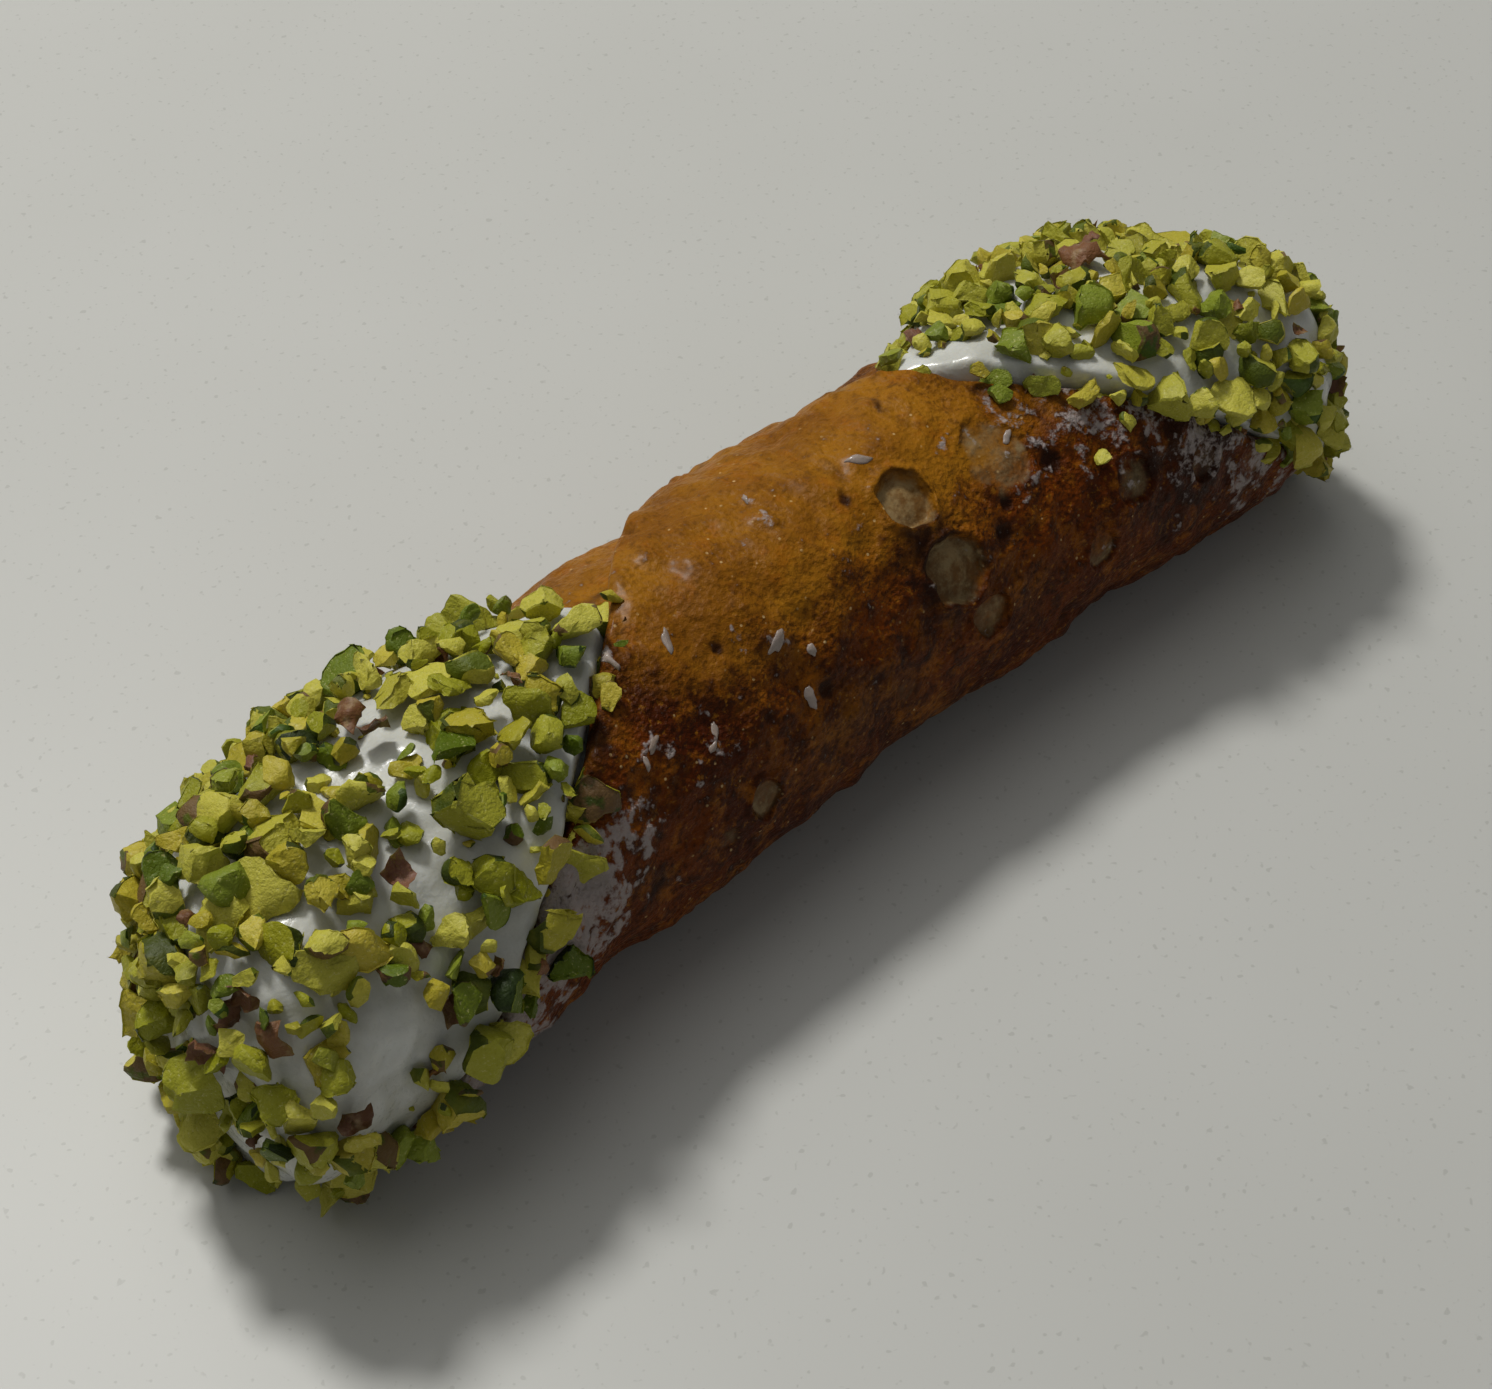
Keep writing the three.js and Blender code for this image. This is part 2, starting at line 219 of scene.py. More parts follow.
# Adds a node of one of these kinds, with a value or a link for each input, and gives back its output
def addNode(tree, kind, *inputs):
    name, settings, keys, output = nodeKinds[kind]
    node = tree.nodes.new(name)
    for key, value in settings.items():
        setattr(node, key, value)
    for key, value in zip(keys, inputs):
        if isinstance(value, bpy.types.NodeSocket):
            tree.links.new(value, node.inputs[key])
        else:
            node.inputs[key].default_value = value
    return node.outputs[output]


# Noise scale for swells of this size in mm
def perSize(size):
    return 1 / (size * mm)


# Camera, light and floor
view = {
    "sensor": 36, "focalPixels": 2700, "photoPixels": 1492,
    "turned": math.radians(-43.3), "raised": math.radians(48), "distance": 0.271,
    "target": Vector((-0.0075, -0.0038, 0.0172)),
}
light = {
    "key": {"towards": Vector((0.04, 0.5, 0.866)), "distance": 0.9, "size": 0.16, "power": 4.65},
    "overhead": {"towards": Vector((-0.1, 0.35, 1.0)), "distance": 1.5, "size": 1.6, "power": 4.5},
    "ambient": 0.15,
}


def makeCamera():
    cosine, sine = math.cos(view["turned"]), math.sin(view["turned"])
    level, rise = math.cos(view["raised"]), math.sin(view["raised"])
    back = Vector((sine * level, -cosine * level, rise))
    right = Vector((cosine, sine, 0))
    up = back.cross(right)
    lens = bpy.data.cameras.new("camera")
    lens.lens = view["sensor"] * view["focalPixels"] / view["photoPixels"]
    lens.sensor_width = view["sensor"]
    lens.clip_start = 0.01
    camera = bpy.data.objects.new("camera", lens)
    turnMatrix = Matrix((right, up, back)).transposed().to_4x4()
    camera.matrix_world = Matrix.Translation(view["target"] + back * view["distance"]) @ turnMatrix
    scene.collection.objects.link(camera)
    scene.camera = camera


def makeLights():
    for name in ("key", "overhead"):
        lamp = bpy.data.lights.new(name, "AREA")
        lamp.shape = "DISK"
        lamp.size = light[name]["size"]
        lamp.energy = light[name]["power"]
        lamp.color = (1.0, 0.99, 0.965)
        holder = bpy.data.objects.new(name, lamp)
        towards = light[name]["towards"].normalized()
        aim = towards.to_track_quat("Z", "Y").to_matrix().to_4x4()
        holder.matrix_world = Matrix.Translation(towards * light[name]["distance"]) @ aim
        scene.collection.objects.link(holder)

    world = bpy.data.worlds.new("studio")
    world.use_nodes = True
    background = world.node_tree.nodes["Background"]
    background.inputs["Color"].default_value = (0.97, 0.985, 1.0, 1.0)
    background.inputs["Strength"].default_value = light["ambient"]
    scene.world = world
    scene.view_settings.view_transform = "Standard"


def makeFloor():
    # Plain pale floor: soft broad sheen, faint clouding and fine darker specks
    material, tree, shader = newMaterial("paleFloor", {"Roughness": 0.42, "Specular IOR Level": 0.35})
    place = addNode(tree, "place")
    cloud = addNode(tree, "noise", place, perSize(60), 3.0)
    base = addNode(tree, "mix", cloud, linear("#c2c2bc"), linear("#cbcbc6"))
    speck = addNode(tree, "step", addNode(tree, "noise", place, perSize(0.9), 1.0), 0.66, 0.74, 0.35)
    tree.links.new(addNode(tree, "mix", speck, base, linear("#9a9a92")), shader.inputs["Base Color"])
    bm = bmesh.new()
    bmesh.ops.create_grid(bm, x_segments=8, y_segments=8, size=2.0)
    mesh = bpy.data.meshes.new("floor")
    bm.to_mesh(mesh)
    bm.free()
    mesh.materials.append(material)
    floor = bpy.data.objects.new("floor", mesh)
    scene.collection.objects.link(floor)


# The fried dough
dough = {
    "cells": 200, "rimRings": 6, "broad": (0.42, 14), "middle": (0.36, 4.0), "fine": (0.2, 1.7),
    "blisters": 320, "pits": 150, "lipWave": 0.5, "filmHeight": 0.3, "fineBlisters": 8,
    "scatter": (60, 72),
}
openBlisters = [  # x, angle, radius, depth, rim height, paleness
    (11.6, 111, 2.7, 0.85, 0.35, 1.0), (12.8, 140, 3.3, 0.85, 0.4, 1.0), (15.3, 163, 2.1, 0.4, 0.25, 0.8),
    (-16.8, 170, 1.9, 0.35, 0.25, 0.75), (24.1, 115, 3.9, 0.12, 0.08, 0.6), (37.5, 150, 2.4, 0.3, 0.2, 0.5),
    (47.5, 160, 2.1, 0.3, 0.2, 0.5), (31.5, 168, 2.0, 0.3, 0.2, 0.55), (-22, 176, 1.5, 0.25, 0.2, 0.5),
    (3.4, 171, 1.7, 0.25, 0.2, 0.45), (55, 175, 2.0, 0.2, 0.2, 0.45), (20, 60, 2.4, 0.25, 0.2, 0.45),
]
darkPits = [  # x, angle, radius, depth
    (19.9, 140, 1.1, 0.8), (29.4, 128, 1.2, 0.7), (-6.5, 148, 0.9, 0.6), (6, 101, 0.6, 0.4),
    (-15, 116, 0.6, 0.4), (-38.3, 154, 1.5, 0.6), (-41.6, 152, 1.1, 0.6), (48.8, 147, 1.4, 0.6),
    (44, 128, 1.0, 0.5), (22, 131, 0.7, 0.5),
]
darkZones = [  # x, angle, radius, strength
    (10.2, 131, 4.5, 0.7), (-23, 115, 3.5, 0.5), (-29.8, 141, 4, 0.55), (48.8, 147, 7, 0.7),
    (-3.2, 98, 1.6, 0.3), (33, 118, 5, 0.5), (-32, 118, 3, 0.6), (42, 170, 9, 0.4), (-28, 165, 6, 0.35),
    (58, 150, 6, 0.4), (10.2, 150, 4.0, 0.4), (20, 120, 3, 0.35), (45, 148, 8, 0.4), (53, 134, 6, 0.45),
    (38, 132, 6, 0.4), (-10, 160, 8, 0.3), (4, 166, 7, 0.3), (-20, 148, 5, 0.35), (-36, 172, 7, 0.45),
]
creamSmears = [  # x, angle, length, width, direction in degrees from X, strength
    (-26.4, 130, 4.4, 2.4, 30, 0.8), (-19.7, 138, 4.2, 2.6, 60, 0.7), (-13.1, 117, 4.0, 1.6, 100, 0.6),
    (-2.4, 91, 4.6, 1.6, 20, 0.5), (-8.5, 147, 2.6, 2.0, 80, 0.8), (-24.4, 99, 3.6, 1.2, 100, 0.8),
    (-9.4, 125, 2.4, 1.4, 20, 0.7), (-1.5, 83, 1.6, 0.8, 30, 0.7),
]


# Relief of the crust in mm, how pale, scorched and filmed over it is, and its share of toasting and painted
# shade
def doughMarks(around, along, points, seed):
    relief = np.zeros(len(around))
    pale = np.zeros(len(around))
    scorch = np.zeros(len(around))
    swell = noiseField(points, 2.2, 3)
    ragged = noiseField(points, 0.9, 4)
    for (height, size), shift in zip((dough["broad"], dough["middle"], dough["fine"]), (1, 2, 5)):
        relief += height * noiseField(points, size, shift)
    wide, long = dough["scatter"]
    for i in range(dough["blisters"]):
        a, b = seed.uniform(-wide, wide), seed.uniform(-long, long)
        radius = seed.uniform(0.7, 1.7) if i % 5 else seed.uniform(1.7, 3.4)
        distance = np.hypot(around - a, (along - b) * seed.uniform(0.7, 1.1)) / radius
        relief += seed.uniform(0.08, 0.3) * smoothStep(1.3 - distance + 0.15 * swell)
        scorch += seed.uniform(0, 0.35) * np.exp(-((distance - 1.05) / 0.22) ** 2)
    for i in range(dough["pits"]):
        a, b = seed.uniform(-wide, wide), seed.uniform(-long, long)
        distance = np.hypot(around - a, along - b) / seed.uniform(0.4, 0.9)
        relief -= seed.uniform(0.15, 0.4) * np.exp(-distance ** 2)
        scorch += seed.uniform(0.2, 0.6) * np.exp(-(distance / 1.3) ** 2)
    for x, degrees, radius, depth, rim, paleness in openBlisters:
        a, b = onFlap(x, degrees)
        distance = np.hypot(around - a, along - b) / radius + 0.16 * swell + 0.03 * ragged
        inside = smoothStep((1.06 - distance) / 0.16)
        rimRing = np.exp(-((distance - 1.16) / 0.16) ** 2)
        relief = relief * (1 - 0.6 * inside) - depth * inside + rim * rimRing
        pale += paleness * smoothStep((1.3 - distance) / 0.6)
        burn = min(1, depth * 1.6) * (0.6 + 0.4 * swell)
        edgeRing = np.exp(-((distance - 1.05) / 0.08) ** 2)
        scorch += burn * (0.7 * edgeRing + 0.2 * np.exp(-((distance - 1.4) / 0.35) ** 2))
    for x, degrees, radius, depth in darkPits:
        a, b = onFlap(x, degrees)
        distance = np.hypot(around - a, along - b) / radius + 0.15 * swell
        relief -= depth * np.exp(-distance ** 2)
        scorch += 0.95 * np.exp(-(distance / 1.1) ** 4)
    for x, degrees, radius, strength in darkZones:
        a, b = onFlap(x, degrees)
        distance = np.hypot(around - a, along - b) / radius
        scorch += strength * smoothStep(1.3 - distance + 0.35 * swell) * (0.65 + 0.35 * ragged)
    scorch += 0.2 * smoothStep((3.5 - edgeDepth(around, along)) / 3 + 0.3 * swell)
    film = creamFilm(around, along, points, swell, ragged)
    toastAndShade = toastAndShadeShare(around, along, points)
    return relief, np.clip(pale, 0, 1), np.clip(scorch, 0, 1), np.clip(film, 0, 1), np.clip(toastAndShade, 0, 1)


# X on the tube and the angle in degrees of places on the sheet
def tubePlaces(around, along):
    return along + roll["middle"], np.degrees(roll["angle"] - around / roll["radius"]) % 360


# Smears of cream, and the film smeared back over the dough from both lips, in patches with holes
def creamFilm(around, along, points, swell, ragged):
    film = np.zeros(len(around))
    for x, degrees, length, width, direction, strength in creamSmears:
        a, b = onFlap(x, degrees)
        c = math.cos(math.radians(direction))
        s = math.sin(math.radians(direction))
        p = (along - b) * c - (around - a) * s
        q = (along - b) * s + (around - a) * c
        distance = np.hypot(p / (length / 2), q / (width / 2))
        film += strength * smoothStep(1.5 - distance + 0.7 * ragged) * smoothStep(0.6 + 1.6 * swell)
    x, degrees = tubePlaces(around, along)
    depth = edgeDepth(around, along)
    patchy = noiseField(points, 2.6, 6) + 0.5 * ragged
    window = smoothStep((degrees - 136) / 8) * smoothStep((240 - degrees) / 14)
    near = np.where(x < -20, window * smoothStep((10.5 - depth) / 7 + 0.7 * patchy), 0)
    window = smoothStep((degrees - 92) / 12) * smoothStep((225 - degrees) / 14)
    far = np.where(x > 16, window * smoothStep((13 - depth) / 10 + 0.75 * patchy - 0.35), 0)
    return film + (0.95 * near + 0.6 * far) * np.where(around > 0, 1, 0)


# Golden on top, a deeper brown down the front and towards both mouths: partly toasting, partly painted shade
# on the front, which faces away from the light
def toastAndShadeShare(around, along, points):
    x, degrees = tubePlaces(around, along)
    toastAndShade = 0.75 * smoothStep((degrees - 98) / 50) * np.where(degrees < 300, 1, 0)
    toastAndShade += 0.35 * smoothStep((-14 - x) / 12) + 0.35 * smoothStep((x - 16) / 16)
    return toastAndShade + 0.22 * noiseField(points, 9, 7)


def doughMaterial():
    # Fried sweet dough: blistered brown crust with a thin skin of oil, so a satin sheen and fine grain
    material, tree, shader = newMaterial("friedDough", {
        "IOR": 1.46, "Specular IOR Level": 0.09, "Coat Weight": 0.06, "Coat Roughness": 0.22,
        "Subsurface Weight": 0.04, "Subsurface Radius": (1.0, 0.4, 0.1), "Subsurface Scale": 0.001,
    })
    place = addNode(tree, "place")
    marks = addNode(tree, "marks")
    pale = addNode(tree, "red", marks)
    scorch = addNode(tree, "green", marks)
    film = addNode(tree, "blue", marks)
    toastAndShade = addNode(tree, "toastAndShade")
    broad = addNode(tree, "noise", place, perSize(11), 3.0)
    mottle = addNode(tree, "noise", place, perSize(2.4), 4.0, 0.62)
    streak = addNode(tree, "noise", place, perSize(3.6), 5.0, 0.7)
    grain = addNode(tree, "noise", place, perSize(0.7), 3.0, 0.6)
    bubble = addNode(tree, "cells", place, perSize(0.62))
    glintCells = addNode(tree, "cells", place, perSize(1.5))

    # Golden to brown as it toasted and as painted shade down the front, with darker mottling and lighter
    # streaks
    patches = addNode(tree, "step", broad, 0.36, 0.66)
    golden = addNode(tree, "mix", patches, linear("#9e6812"), linear("#83510c"))
    brown = addNode(tree, "mix", patches, linear("#6a3000"), linear("#481a00"))
    uneven = addNode(tree, "subtract", mottle, 0.5)
    toastedAndShaded = addNode(tree, "add", toastAndShade, addNode(tree, "multiply", uneven, 0.9))
    base = addNode(tree, "mix", addNode(tree, "step", toastedAndShaded, 0.05, 0.85), golden, brown)
    share = addNode(tree, "step", toastAndShade, 0.0, 0.7, 0.85, 0.2)
    dark = addNode(tree, "multiply", addNode(tree, "step", mottle, 0.47, 0.64), share)
    base = addNode(tree, "mix", dark, base, linear("#3c1a03"))
    base = addNode(tree, "mix", addNode(tree, "step", streak, 0.51, 0.66, 0.6), base, linear("#98590a"))

    # Dark and light grain, and a few pale specks painted on as glints of light
    share = addNode(tree, "step", toastAndShade, 0.0, 0.6, 0.65, 0.3)
    dots = addNode(tree, "multiply", addNode(tree, "step", grain, 0.52, 0.66), share)
    base = addNode(tree, "mix", dots, base, linear("#2c1100"))
    base = addNode(tree, "mix", addNode(tree, "step", grain, 0.30, 0.42, 0.0, 0.45), base, linear("#a8701a"))
    paintedGlints = addNode(tree, "step", glintCells, 0.07, 0.13, 0.0, 0.7)
    paintedGlints = addNode(tree, "multiply", paintedGlints, addNode(tree, "step", streak, 0.42, 0.6))
    base = addNode(tree, "mix", paintedGlints, base, linear("#dcbd84"))

    # Burnt rims and pits, pale blister floors, and the film of cream with the dough showing through its holes
    rough = addNode(tree, "multiplyAdd", mottle, 0.5, -0.25)
    burnt = addNode(tree, "step", addNode(tree, "add", scorch, rough), 0.12, 0.85)
    base = addNode(tree, "mix", addNode(tree, "multiply", burnt, 0.92), base, linear("#2a1205"))
    veins = addNode(tree, "step", streak, 0.4, 0.6)
    floorTone = addNode(tree, "mix", veins, linear("#9a865f"), linear("#6a5030"))
    ragged = addNode(tree, "add", addNode(tree, "add", pale, rough), rough)
    base = addNode(tree, "mix", addNode(tree, "step", ragged, 0.3, 0.85, 0.78), base, floorTone)
    holes = addNode(tree, "add", addNode(tree, "subtract", grain, 0.5), uneven)
    covered = addNode(tree, "add", film, addNode(tree, "multiply", holes, 1.7))
    covered = addNode(tree, "step", covered, 0.4, 0.85, 0.86)
    base = addNode(tree, "mix", covered, base, linear("#a69b97"))
    tree.links.new(base, shader.inputs["Base Color"])
    tree.links.new(addNode(tree, "step", grain, 0.35, 0.7, 0.62, 0.38), shader.inputs["Roughness"])

    height = addNode(tree, "multiply", mottle, 0.7)
    height = addNode(tree, "add", height, addNode(tree, "multiply", grain, 0.4))
    height = addNode(tree, "add", height, addNode(tree, "multiply", bubble, 0.25))
    height = addNode(tree, "multiply", height, addNode(tree, "step", pale, 0.2, 0.7, 0.35, 1.0))
    height = addNode(tree, "multiply", height, addNode(tree, "step", toastAndShade, 0.0, 0.8, 1.5, 0.8))
    tree.links.new(addNode(tree, "bump", height, 1.0, 0.55 * mm), shader.inputs["Normal"])
    return material


# Where the flat grid's corners lie on the sheet, and how far round its rim from the outer to the inner face
def sheetPlaces(bm, ring):
    bm.verts.index_update()
    flat = readVerts(bm)
    step = np.array([vert[ring] for vert in bm.verts]) / dough["rimRings"] * math.pi
    a, b = flat[:, 0], flat[:, 1]
    square = np.maximum(np.abs(a), np.abs(b))
    around = np.where(a + b < 0, roll["innerAround"], roll["halfAround"]) * (a + b) / 2
    along = roll["halfAlong"] * (a - b) / 2
    rim = roll["rim"] / (math.hypot(roll["halfAlong"], roll["halfAround"]) / 2)
    rounding = square / np.maximum(sheetMeasure(around, along), 1e-9) * (1 + rim * np.sin(step))
    return around * rounding, along * rounding, step


def makeShell():
    seed = random.Random(31)
    rings = dough["rimRings"]
    bm = bmesh.new()
    ring = bm.verts.layers.int.new("ring")
    bmesh.ops.create_grid(bm, x_segments=dough["cells"], y_segments=dough["cells"], size=1.0)
    topFaces = list(bm.faces)
    edges = [edge for edge in bm.edges if edge.is_boundary]
    under = bmesh.ops.duplicate(bm, geom=topFaces)["geom"]
    underVerts = [item for item in under if isinstance(item, bmesh.types.BMVert)]
    underFaces = [item for item in under if isinstance(item, bmesh.types.BMFace)]
    bmesh.ops.reverse_faces(bm, faces=underFaces)
    for vert in underVerts:
        vert[ring] = rings
    for k in range(1, rings + 1):
        made = bmesh.ops.extrude_edge_only(bm, edges=edges)["geom"]
        edges = [item for item in made if isinstance(item, bmesh.types.BMEdge) and item.is_boundary]
        last = [item for item in made if isinstance(item, bmesh.types.BMVert)]
        for vert in last:
            vert[ring] = k
    joined = last + [vert for vert in underVerts if vert.is_boundary]
    bmesh.ops.remove_doubles(bm, verts=joined, dist=1e-6)

    around, along, step = sheetPlaces(bm, ring)
    finer = np.zeros(len(around), dtype=bool)
    for blister in openBlisters[:dough["fineBlisters"]]:
        x, degrees, radius = blister[:3]
        a, b = onFlap(x, degrees)
        finer |= (np.hypot(around - a, along - b) < radius * 1.5) & (step == 0)
    edges = [edge for edge in bm.edges if finer[edge.verts[0].index] and finer[edge.verts[1].index]]
    bmesh.ops.subdivide_edges(bm, edges=edges, cuts=2, use_grid_fill=True)
    around, along, step = sheetPlaces(bm, ring)

    sheet = np.stack([around, along, np.zeros_like(around)], axis=-1)
    relief, pale, scorch, film, toastAndShade = doughMarks(around, along, sheet, seed)
    wave = dough["lipWave"] * noiseField(sheet, 4.5, 8) * smoothStep(1 - edgeDepth(around, along) / 3)
    along = along + wave * np.sign(along)
    outer = (1 + np.cos(step)) / 2
    outerDepth = edgeDepth(around + turn * roll["radius"], along + flapLean(around))
    under = np.where(around < 0, smoothStep((outerDepth + 1) / 3), 0)
    height = (relief * (1 - 0.8 * under) + dough["filmHeight"] * film) * outer + 0.1 * (1 - outer) * relief
    points = rolledPoint(around, along, np.cos(step) * roll["thickness"] / 2 + height)
    writeVerts(bm, points)
    marks = bm.verts.layers.float_color.new("marks")
    for vert, *values in zip(bm.verts, pale, scorch, film * outer, toastAndShade):
        vert[marks] = values
    bm.verts.layers.int.remove(bm.verts.layers.int["ring"])
    bmesh.ops.recalc_face_normals(bm, faces=bm.faces)
    return finishPiece(bm, "doughShell", doughMaterial(), "shell")


# The cream
cream = {
    "columns": 240, "hiddenRows": 24, "rampRows": 6, "spanRows": 64, "domeRows": 56,
    "radius": 17.6, "ramp": 2.0,
    "floorGap": 0.5, "fit": 0.1, "core": 1.6, "folds": ((0.6, 6.5), (0.26, 2.4)),
}
creamEnds = [
    {"side": -1, "backAngle": 15, "spread": 75, "front": 66.5, "back": 54, "tip": 73.4, "sag": 3,
     "powers": (3.2, 2)},
    {"side": 1, "backAngle": 62, "spread": 55, "front": 63.5, "back": 55, "tip": 74, "sag": 1,
     "powers": (2.6, 1.35)},
]
creamLumps = [
    (-41, 40, 1.2, 10), (-60, 30, -0.8, 8), (42, 42, 2.2, 15), (-56, 160, 0.5, 10), (72, 120, 2.2, 7),
    (57, 80, -2.2, 6),
]


# Radius at which the cream touches the inside of the dough
def boreRadius(x, angle):
    return roll["radius"] + lumpHeight(tubeLumps, x, angle) - roll["thickness"] / 2 - cream["fit"]


# The cream never goes under its gap over the floor
def creamPoint(x, angle, radius):
    sine = np.maximum(-np.sin(angle), 1e-6)
    return polar(x, angle, np.minimum(radius, (roll["axis"] - cream["floorGap"]) / sine))


# Rows of one end from inside the dough to the tip: columns x rows x 3, and how much each may be folded
def creamRows(end, angle):
    side = end["side"]
    back = np.exp(-(angleGap(angle, math.radians(end["backAngle"])) / math.radians(end["spread"])) ** 2)
    domeStart = end["front"] + (end["back"] - end["front"]) * back
    power = end["powers"][0] + (end["powers"][1] - end["powers"][0]) * back
    lip = roll["middle"] * side + doughReach(side, angle) + roll["rim"]
    inside = lip + cream["fit"]
    foot = boreRadius(side * inside, angle)
    start = np.maximum(domeStart, inside + cream["ramp"])
    rows, weights = [], []

    def outside(distance):
        return cream["radius"] + lumpHeight(creamLumps, side * distance, angle)

    for t in np.linspace(0, 1, cream["rampRows"] + 1):
        distance = inside + cream["ramp"] * t
        radius = foot + (outside(distance) - foot) * math.sin(t * math.pi / 2)
        rows.append(creamPoint(side * distance, angle, radius))
        weights.append(0.4 * t)
    for t in np.linspace(0, 1, cream["spanRows"] + 1)[1:]:
        distance = inside + cream["ramp"] + (start + 0.2 - inside - cream["ramp"]) * t
        rows.append(creamPoint(side * distance, angle, outside(distance)))
        weights.append(1.0)
    for k in range(1, cream["domeRows"] + 1):
        t = math.sin(k / cream["domeRows"] * math.pi / 2)
        distance = start + 0.2 + (end["tip"] - start - 0.2) * t
        point = creamPoint(side * distance, angle, outside(distance) * (1 - t ** power) ** (1 / power))
        point[..., 2] = np.maximum(point[..., 2] - end["sag"] * t ** 3, cream["floorGap"])
        rows.append(point)
        weights.append(1.0)
    rows[-1][...] = rows[-1].mean(axis=0)
    return rows, weights


# Full cream for the filling, and a thin see-through tone for the dabs
def creamMaterial(name, light, shade):
    # Sieved ricotta with sugar: dense, white and moist, light goes a little way in, small wet glints
    material, tree, shader = newMaterial(name, {
        "Subsurface Weight": 0.25, "Subsurface Radius": (1.0, 0.85, 0.6), "Subsurface Scale": 0.0016,
        "IOR": 1.4, "Coat Weight": 0.3, "Coat Roughness": 0.12,
    })
    place = addNode(tree, "place")
    cloud = addNode(tree, "noise", place, perSize(5), 3.0)
    fine = addNode(tree, "noise", place, perSize(0.6), 2.0)
    base = addNode(tree, "mix", addNode(tree, "step", cloud, 0.35, 0.65), linear(light), linear(shade))
    tree.links.new(base, shader.inputs["Base Color"])
    tree.links.new(addNode(tree, "step", fine, 0.35, 0.65, 0.42, 0.26), shader.inputs["Roughness"])
    height = addNode(tree, "multiply", cloud, 0.7)
    height = addNode(tree, "add", height, addNode(tree, "multiply", fine, 0.25))
    tree.links.new(addNode(tree, "bump", height, 0.8, 0.35 * mm), shader.inputs["Normal"])
    return material


def makeCream(material):
    columns = cream["columns"]
    angle = np.linspace(0, turn, columns + 1)
    near, nearWeights = creamRows(creamEnds[0], angle)
    far, farWeights = creamRows(creamEnds[1], angle)
    hidden = []
    for k in range(1, cream["hiddenRows"]):
        t = k / cream["hiddenRows"]
        x = near[0][:, 0] + (far[0][:, 0] - near[0][:, 0]) * t
        inset = cream["core"] * math.sin(math.pi * t) ** 0.3
        hidden.append(creamPoint(x, angle, boreRadius(x, angle) - inset))
    rows = near[::-1] + hidden + far
    weights = nearWeights[::-1] + [0.0] * len(hidden) + farWeights
    bm = bmesh.new()
    bmesh.ops.create_grid(bm, x_segments=columns, y_segments=len(rows) - 1, size=1.0)
    flat = readVerts(bm)
    column = np.rint((flat[:, 0] + 1) / 2 * columns).astype(int) % columns
    row = np.rint((flat[:, 1] + 1) / 2 * (len(rows) - 1)).astype(int)
    points = np.stack(rows)[row, column]
    writeVerts(bm, points)
    bmesh.ops.remove_doubles(bm, verts=bm.verts, dist=1e-5)
    bmesh.ops.recalc_face_normals(bm, faces=bm.faces)
    bm.normal_update()
    points = readVerts(bm)
    normals = np.array([vert.normal[:] for vert in bm.verts])
    weight = weightsAt(points)
    for (height, size), shift in zip(cream["folds"], (11, 12)):
        points = points + normals * (height * noiseField(points, size, shift) * weight)[:, None]
    points[:, 2] = np.maximum(points[:, 2], cream["floorGap"] - 0.2)
    writeVerts(bm, points)
    bm.normal_update()
    return finishPiece(bm, "creamFilling", material, "filling")


# How far past the dough's lip a point lies, along X
def pastLip(points):
    angle = np.arctan2(points[:, 2] - roll["axis"], points[:, 1])
    side = np.sign(points[:, 0])
    return side * (points[:, 0] - roll["middle"]) - doughReach(side, angle) - roll["rim"]


def weightsAt(points):
    return smoothStep(pastLip(points) / 2.5)


# The pistachios
nuts = {
    "prototypes": 26, "lengths": (6.0, 1.9), "spread": 0.31, "perEnd": 505, "tries": 40000, "tilt": 0.6,
    "sink": 0.12, "lipGap": -0.1, "lowest": 1.2, "mostLift": (2.5, 1.5), "rise": 0.12, "green": 0.17,
    "flakes": 0.06, "flakeSize": 0.7, "crumbs": 200, "crumbLengths": (0.6, 1.5), "rough": (0.09, 0.05),
    "farSize": 0.98, "brown": 0.25, "small": 3.1, "namedTilt": 0.2, "nearCream": 2.5,
    "bits": 10, "flakeModels": 6, "crumbTilt": 0.8, "crumbLift": 0.2, "offFloor": 0.15,
}
kernelTones = {
    "dustAndHighlight": "#d8d28c", "pale": "#c4bd4a", "mid": "#8b8d0c", "yellow": "#bfa934", "skin": "#4f5e0a",
    "darkSkin": "#223205", "patch": "#6f7018", "papery": "#6a4a32", "from": 0.35, "to": 0.8, "most": 0.94,
}
greenTones = {
    **kernelTones, "pale": "#87932a", "mid": "#566808", "skin": "#3a5410", "darkSkin": "#152406",
    "patch": "#283a0a", "from": 0.1, "to": 0.6,
}
skinTones = {
    **kernelTones, "pale": "#8a6a4a", "mid": "#6b4a20", "yellow": "#a08a62", "skin": "#7a5030",
    "darkSkin": "#52301c", "patch": "#ab9470", "papery": "#7a5240",
}
nutPieces = {  # model, name, material, tones, angle in degrees from which an edge is sharp
    "kernel": ("kernelChips", "pistachioKernel", kernelTones, 52),
    "green": ("greenChips", "pistachioGreen", greenTones, 52),
    "flake": ("skinFlakes", "pistachioSkin", skinTones, 60),
    "crumb": ("nutCrumbs", "pistachioCrumb", kernelTones, 52),
}
barePatches = [  # x, angle, radius
    (-62.3, 157, 5.0), (-52, 133, 1.8), (-31.3, 121, 2.4), (-70.1, 202, 4.2), (-74.7, 289, 4.0),
    (-70.7, 150, 2.0), (-37.9, 55, 2.0), (-53.8, 112, 1.2), (-64, 180, 3.6), (53.6, 128, 1.4),
    (67, 139, 2.4), (43.4, 122, 1.0), (28.5, 78, 2.4), (67, 164, 2.6), (-47, 148, 2.0), (-73, 229, 3.8),
]
